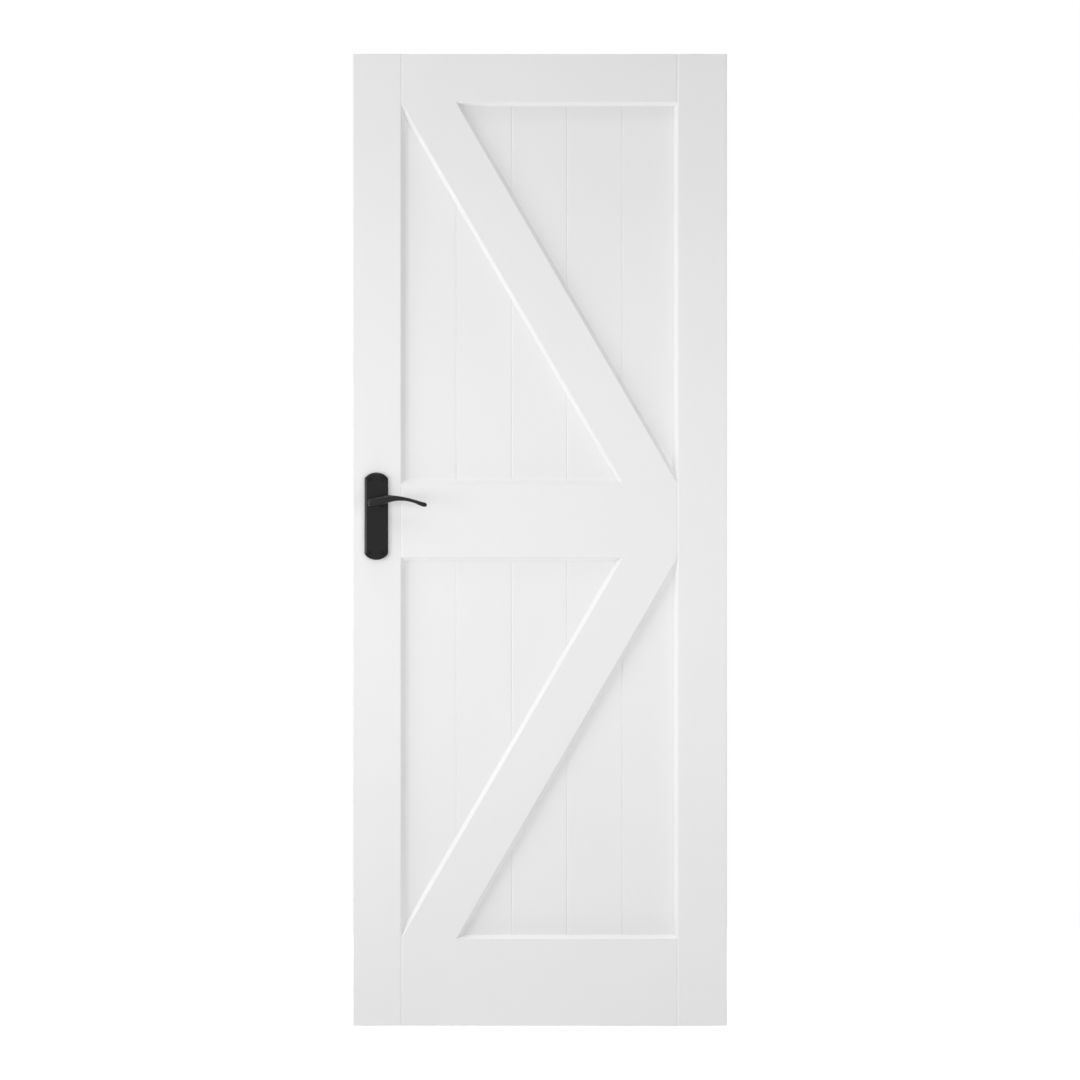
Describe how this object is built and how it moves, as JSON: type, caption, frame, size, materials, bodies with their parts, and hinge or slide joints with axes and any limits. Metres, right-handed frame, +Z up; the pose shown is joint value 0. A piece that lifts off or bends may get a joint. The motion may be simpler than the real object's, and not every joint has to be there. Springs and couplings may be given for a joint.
{
  "type": "barn-style door leaf",
  "caption": "White-painted framed and braced door leaf in the barn style, with V-jointed boards, diagonal braces on both faces and a sprung black lever handle on a long plate each side.",
  "frame": {"origin": "middle of the hinge edge: half way up the leaf and half way through its thickness", "axes": "+Z up the leaf, +X from the lock edge out through the hinge edge, +Y from the front face through to the back face"},
  "size_m": [0.762, 0.1408, 1.981],
  "materials": {
    "painted_wood": "satin white paint",
    "black_iron": "satin black powder coat",
    "spindle_steel": "bright zinc plate"
  },
  "bodies": {
    "leaf": {"lock_stile": "painted_wood", "hinge_stile": "painted_wood", "top_rail": "painted_wood", "middle_rail": "painted_wood", "bottom_rail": "painted_wood", "upper_board_1": "painted_wood", "upper_board_2": "painted_wood", "upper_board_3": "painted_wood", "upper_board_4": "painted_wood", "upper_board_5": "painted_wood", "lower_board_1": "painted_wood", "lower_board_2": "painted_wood", "lower_board_3": "painted_wood", "lower_board_4": "painted_wood", "lower_board_5": "painted_wood", "upper_brace_front": "painted_wood", "upper_brace_back": "painted_wood", "lower_brace_front": "painted_wood", "lower_brace_back": "painted_wood", "handle_plate_front": "black_iron", "handle_plate_back": "black_iron"},
    "handles": {"lever_front": "black_iron", "lever_back": "black_iron", "spindle": "spindle_steel"}
  },
  "joints": [
    {"name": "lever_turn", "type": "hinge", "parent": "leaf", "child": "handles", "pos_m": [-0.7145, 0, 0.0755], "axis": [0, 1, 0], "range_deg": [0, 45], "stiffness_Nm_per_rad": 1.2, "springref_deg": -20.05}
  ]
}
